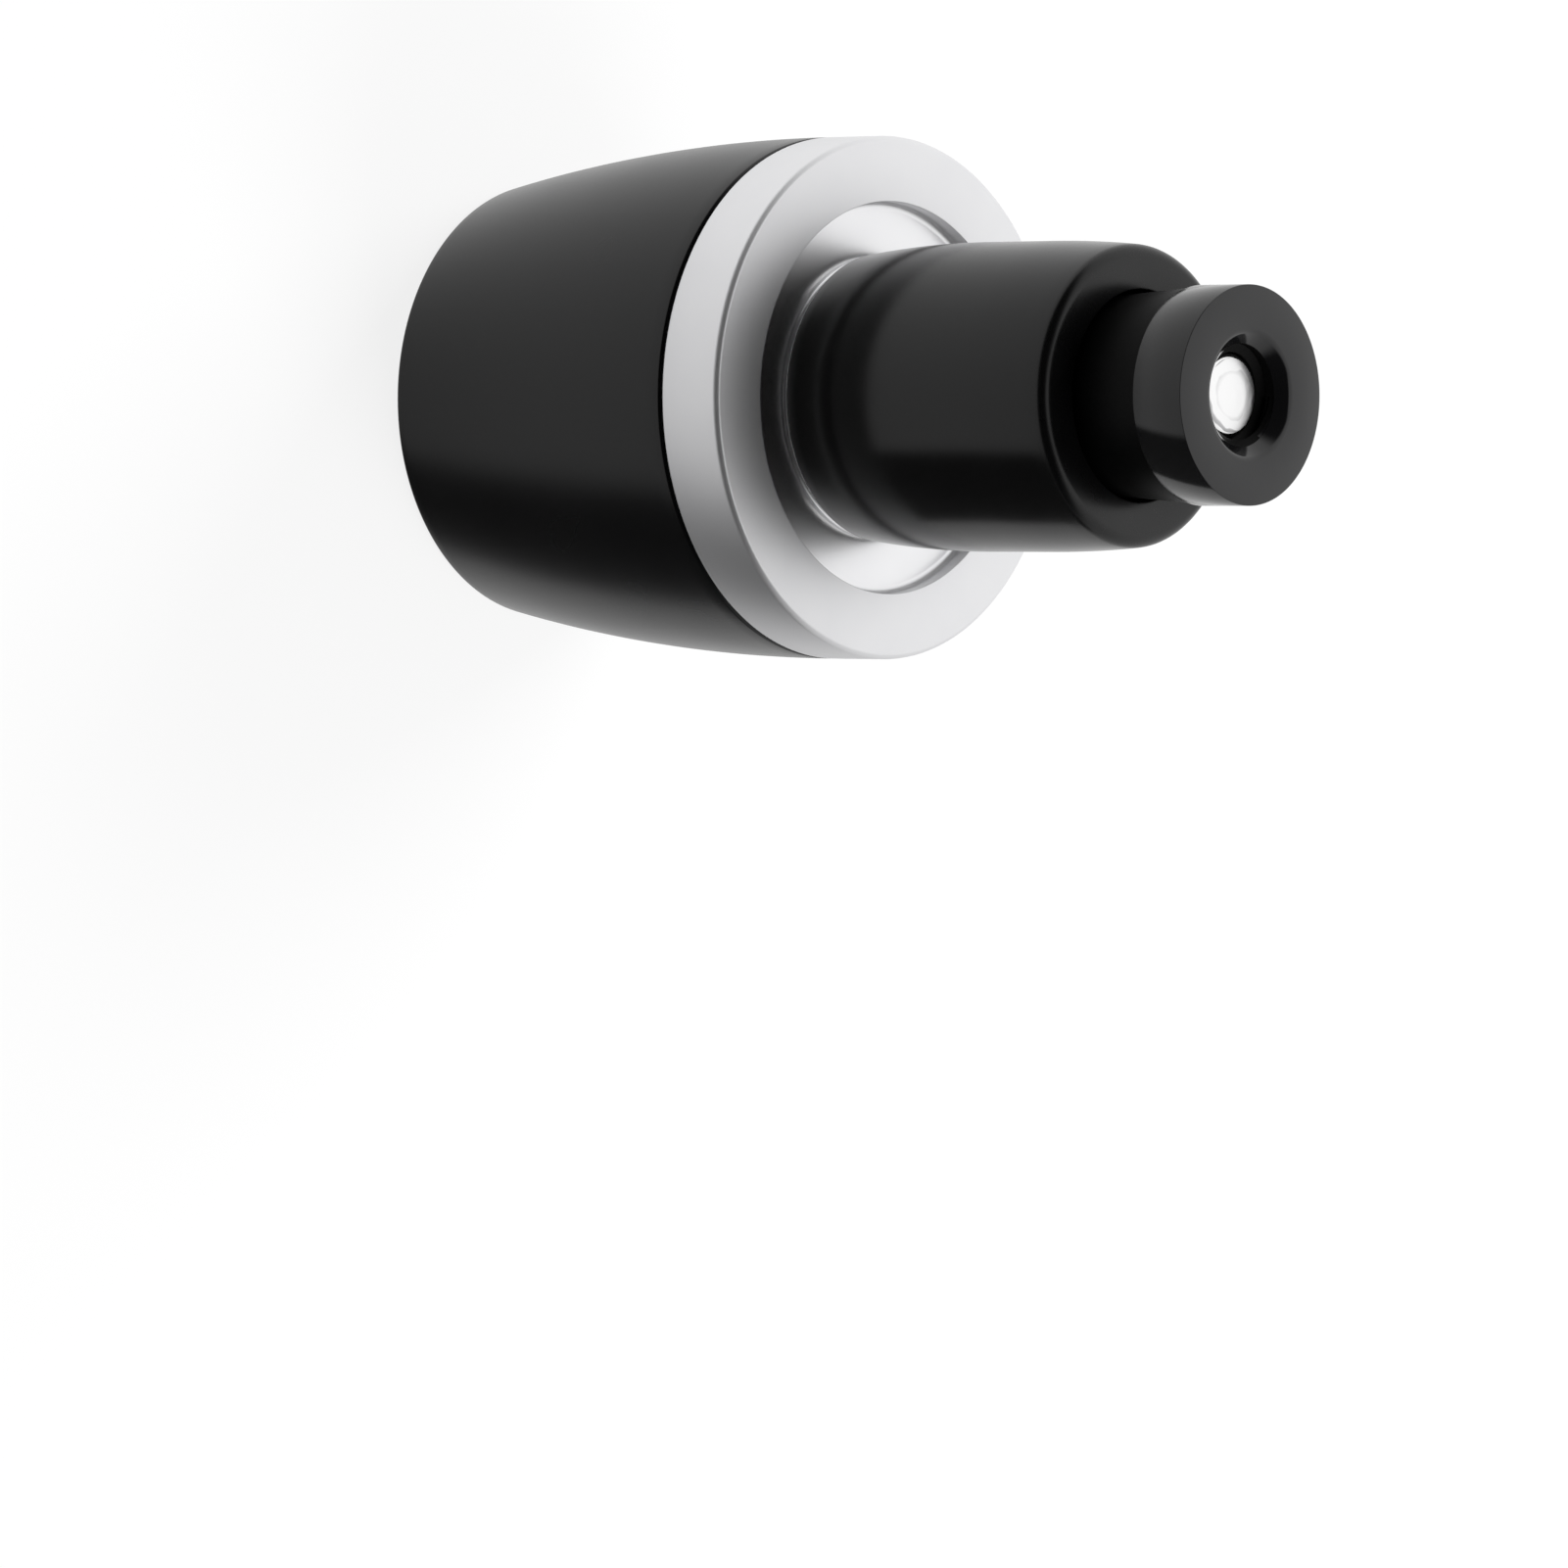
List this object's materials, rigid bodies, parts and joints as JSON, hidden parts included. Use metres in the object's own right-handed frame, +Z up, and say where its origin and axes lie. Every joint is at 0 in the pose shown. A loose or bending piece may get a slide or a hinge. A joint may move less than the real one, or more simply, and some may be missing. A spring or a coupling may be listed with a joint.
{
  "type": "handlebar end weight",
  "caption": "Turned black bar end weight with a bright trim ring and a rubber expander plug that a socket head screw and wedge nut tighten inside the handlebar.",
  "frame": {"origin": "centre of the weight's open rim, on the plane that it stands on", "axes": "+Z up the common axis, from the rim towards the tip of the plug; X and Y across it"},
  "size_m": [0.0315, 0.0314, 0.0564],
  "materials": {
    "black_anodised": "gloss black anodised",
    "turned_aluminium": "fine turned",
    "zinc_steel": "zinc plated",
    "moulded_rubber": "smooth moulded",
    "black_anodised_nut": "satin black anodised",
    "bright_steel": "bright plated"
  },
  "bodies": {
    "weight": {"outer_weight": "black_anodised", "trim_ring": "turned_aluminium", "plug_washer": "zinc_steel", "rubber_sleeve": "moulded_rubber"},
    "screw": {"clamp_screw": "bright_steel"},
    "wedge": {"wedge_nut": "black_anodised_nut"}
  },
  "joints": [
    {"name": "screw_turn", "type": "hinge", "parent": "weight", "child": "screw", "pos_m": [0, 0, 0.0199], "axis": [0, 0, 1], "range_deg": [0, 1080]},
    {"name": "wedge_slide", "type": "slide", "parent": "weight", "child": "wedge", "axis": [0, 0, 1], "range_m": [-0.003, 0]}
  ],
  "couplings": [
    {"joint": "screw_turn", "follows": "wedge_slide", "rad_per_m": -6283.2}
  ]
}
